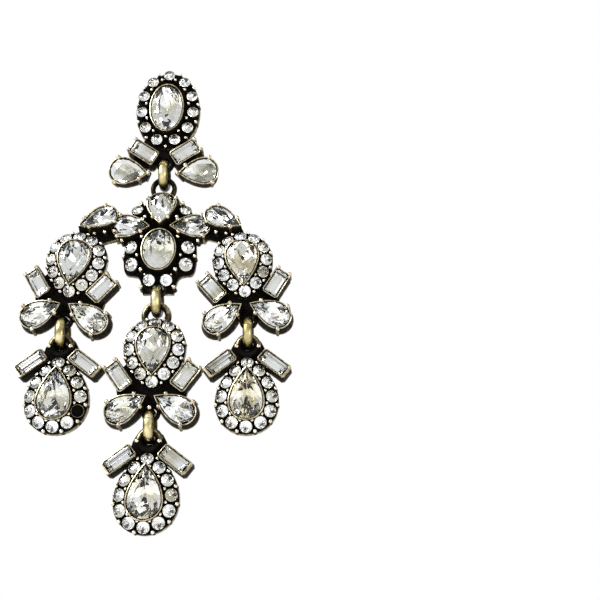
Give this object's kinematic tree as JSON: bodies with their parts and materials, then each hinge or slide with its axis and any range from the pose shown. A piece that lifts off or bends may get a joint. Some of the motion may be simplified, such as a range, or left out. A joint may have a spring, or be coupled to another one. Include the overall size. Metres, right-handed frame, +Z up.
{
  "type": "chandelier earring",
  "caption": "Chandelier earring of antiqued brass castings set with clear cut stones: a top cluster on an ear post, a wide crossbar, and drops that swing on jump rings.",
  "frame": {"origin": "on the back of the top cluster, at the middle of its oval, where the ear post leaves it", "axes": "+Z up as it hangs, front towards -Y, +X to the right as seen from the front, post along +Y"},
  "size_m": [0.0538, 0.0159, 0.0973],
  "materials": {
    "antique_brass": "cast, oxidised nearly black in the recesses and worn to a pale gold on rims, beads and claws",
    "ring_brass": "drawn wire, dull olive gold with light tarnish",
    "crystal": "clear faceted crystal with a silvery foil back",
    "post_steel": "plain wire and pad"
  },
  "bodies": {
    "top": {"top_setting": "antique_brass", "ear_post": "post_steel", "top_oval": "crystal", "top_baguette_left": "crystal", "top_baguette_right": "crystal", "top_pear_left": "crystal", "top_pear_right": "crystal"},
    "top_link": {"top_ring": "ring_brass"},
    "crossbar": {"crossbar_setting": "antique_brass", "bar_oval": "crystal", "bar_top_pear": "crystal", "bar_side_pear_left": "crystal", "bar_side_pear_right": "crystal", "arm_pear_left": "crystal", "arm_pear_right": "crystal", "left_pear": "crystal", "left_baguette_left": "crystal", "left_baguette_right": "crystal", "left_foot_pear_left": "crystal", "left_foot_pear_right": "crystal", "right_pear": "crystal", "right_baguette_left": "crystal", "right_baguette_right": "crystal", "right_foot_pear_left": "crystal", "right_foot_pear_right": "crystal"},
    "centre_drop": {"centre_drop_setting": "antique_brass", "centre_ring": "ring_brass", "centre_pear": "crystal", "centre_baguette_left": "crystal", "centre_baguette_right": "crystal", "centre_foot_pear_left": "crystal", "centre_foot_pear_right": "crystal"},
    "left_drop": {"left_drop_setting": "antique_brass", "left_ring": "ring_brass", "left_drop_pear": "crystal", "left_drop_baguette_left": "crystal", "left_drop_baguette_right": "crystal"},
    "right_drop": {"right_drop_setting": "antique_brass", "right_ring": "ring_brass", "right_drop_pear": "crystal", "right_drop_baguette_left": "crystal", "right_drop_baguette_right": "crystal"},
    "lower_drop": {"lower_drop_setting": "antique_brass", "lower_ring": "ring_brass", "lower_drop_pear": "crystal", "lower_drop_baguette_left": "crystal", "lower_drop_baguette_right": "crystal"}
  },
  "joints": [
    {"name": "top_link_swing", "type": "hinge", "parent": "top", "child": "top_link", "pos_m": [0, -0.0015, -0.0154], "axis": [1, 0, 0], "range_deg": [-60, 60]},
    {"name": "crossbar_tilt", "type": "hinge", "parent": "top_link", "child": "crossbar", "pos_m": [0, -0.0015, -0.0181], "axis": [0, 1, 0], "range_deg": [-15, 15]},
    {"name": "centre_drop_swing", "type": "hinge", "parent": "crossbar", "child": "centre_drop", "pos_m": [0, -0.0015, -0.0431], "axis": [1, 0, 0], "range_deg": [-60, 60]},
    {"name": "left_drop_swing", "type": "hinge", "parent": "crossbar", "child": "left_drop", "pos_m": [-0.018, -0.0015, -0.0497], "axis": [1, 0, 0], "range_deg": [-60, 60]},
    {"name": "right_drop_swing", "type": "hinge", "parent": "crossbar", "child": "right_drop", "pos_m": [0.018, -0.0015, -0.0497], "axis": [1, 0, 0], "range_deg": [-60, 60]},
    {"name": "lower_drop_swing", "type": "hinge", "parent": "centre_drop", "child": "lower_drop", "pos_m": [0, -0.0015, -0.068], "axis": [1, 0, 0], "range_deg": [-60, 60]}
  ]
}
